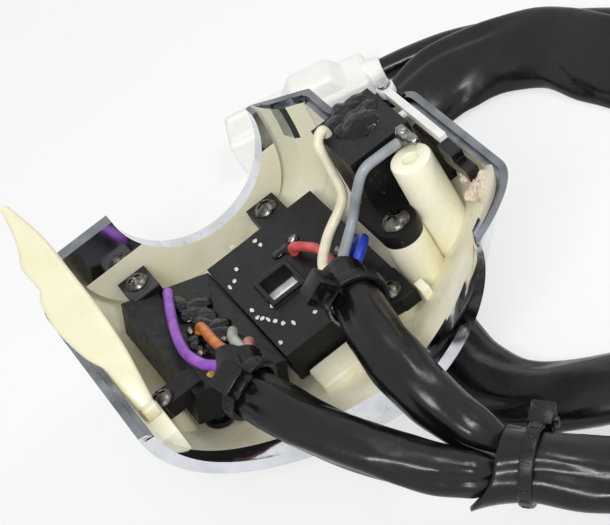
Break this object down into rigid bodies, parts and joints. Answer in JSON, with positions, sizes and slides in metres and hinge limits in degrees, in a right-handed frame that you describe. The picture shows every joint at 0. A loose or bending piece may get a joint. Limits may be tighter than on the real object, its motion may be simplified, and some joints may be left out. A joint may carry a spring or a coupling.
{
  "type": "handlebar switch cluster",
  "caption": "Opened left half housing of a handlebar switch cluster with turn, dimmer, horn and pass switches, tied leads and a sleeved harness that ends in a plug.",
  "frame": {"origin": "on the handlebar axis, at the outer face of the wall with the half-round seat", "axes": "+Y along the handlebar out of the seat wall, +Z out of the open side of the half housing, +X to the wide side of the housing that carries the pass switch"},
  "size_m": [0.1167, 0.1277, 0.0494],
  "materials": {
    "ivory_plastic": "bare moulded plastic, chrome-plated outside",
    "module_black": "satin black moulding",
    "knob_black": "smooth black",
    "nylon_white": "natural nylon",
    "cover_board": "brown fibre board",
    "contact_brass": "plain",
    "steel_bright": "plated",
    "steel_dark": "dark plated",
    "resin_black": "glossy potting",
    "vinyl_black": "soft vinyl sleeve",
    "tie_black": "nylon",
    "lead_white": "insulation",
    "lead_grey": "insulation",
    "lead_red": "insulation",
    "lead_blue": "insulation",
    "lead_light_blue": "insulation",
    "lead_purple": "insulation",
    "lead_orange": "insulation",
    "lead_silver": "insulation",
    "lead_pink": "insulation"
  },
  "bodies": {
    "housing": {"housing_shell": "ivory_plastic", "wire_guard": "ivory_plastic", "turn_base": "module_black", "turn_cover": "cover_board", "turn_rivet_set": "contact_brass", "dimmer_base": "module_black", "dimmer_cover": "cover_board", "horn_base": "module_black", "horn_contact": "contact_brass", "horn_spring": "steel_bright", "pass_base": "module_black", "pass_pivot_pin": "steel_bright", "pass_terminal": "steel_bright", "base_screws": "steel_dark", "pass_screw": "steel_bright", "turn_potting": "resin_black", "pass_potting": "resin_black", "upper_tie": "tie_black", "lower_tie": "tie_black", "harness_tie": "tie_black", "upper_sleeve": "vinyl_black", "lower_sleeve": "vinyl_black", "main_harness": "vinyl_black", "plug_tail": "vinyl_black", "plug_housing": "nylon_white", "plug_terminals": "contact_brass", "lead_white": "lead_white", "lead_grey": "lead_grey", "lead_red": "lead_red", "lead_blue": "lead_blue", "lead_light_blue": "lead_light_blue", "lead_purple": "lead_purple", "lead_orange": "lead_orange", "lead_silver": "lead_silver", "lead_pink": "lead_pink"},
    "turn_slider": {"turn_carrier": "nylon_white", "turn_knob": "knob_black", "turn_detent": "steel_bright", "turn_bridge": "contact_brass"},
    "dimmer_slider": {"dimmer_carrier": "nylon_white", "dimmer_knob": "knob_black", "dimmer_detent": "steel_bright"},
    "horn_plunger": {"horn_button": "knob_black"},
    "pass_lever": {"pass_arm": "nylon_white", "pass_trigger": "knob_black"},
    "pass_pin": {"pass_plunger": "nylon_white"}
  },
  "joints": [
    {"name": "turn_slide", "type": "slide", "parent": "housing", "child": "turn_slider", "axis": [0, 1, 0], "range_m": [-0.004, 0.004]},
    {"name": "dimmer_slide", "type": "slide", "parent": "housing", "child": "dimmer_slider", "axis": [0, 1, 0], "range_m": [0, 0.003]},
    {"name": "horn_push", "type": "slide", "parent": "housing", "child": "horn_plunger", "axis": [0.3746, 0, 0.9272], "range_m": [0, 0.0012], "stiffness_N_per_m": 400, "springref_m": -0.0008, "deforming": ["horn_spring"]},
    {"name": "pass_pull", "type": "hinge", "parent": "housing", "child": "pass_lever", "pos_m": [0.028, -0.0196, 0.0018], "axis": [0, 0, -1], "range_deg": [0, 3.6], "stiffness_Nm_per_rad": 0.02, "springref_deg": -2.86},
    {"name": "pass_press", "type": "slide", "parent": "housing", "child": "pass_pin", "axis": [-1, 0, 0], "range_m": [0, 0.0005]}
  ],
  "couplings": [
    {"joint": "pass_press", "follows": "pass_pull", "m_per_rad": 0.0064}
  ]
}
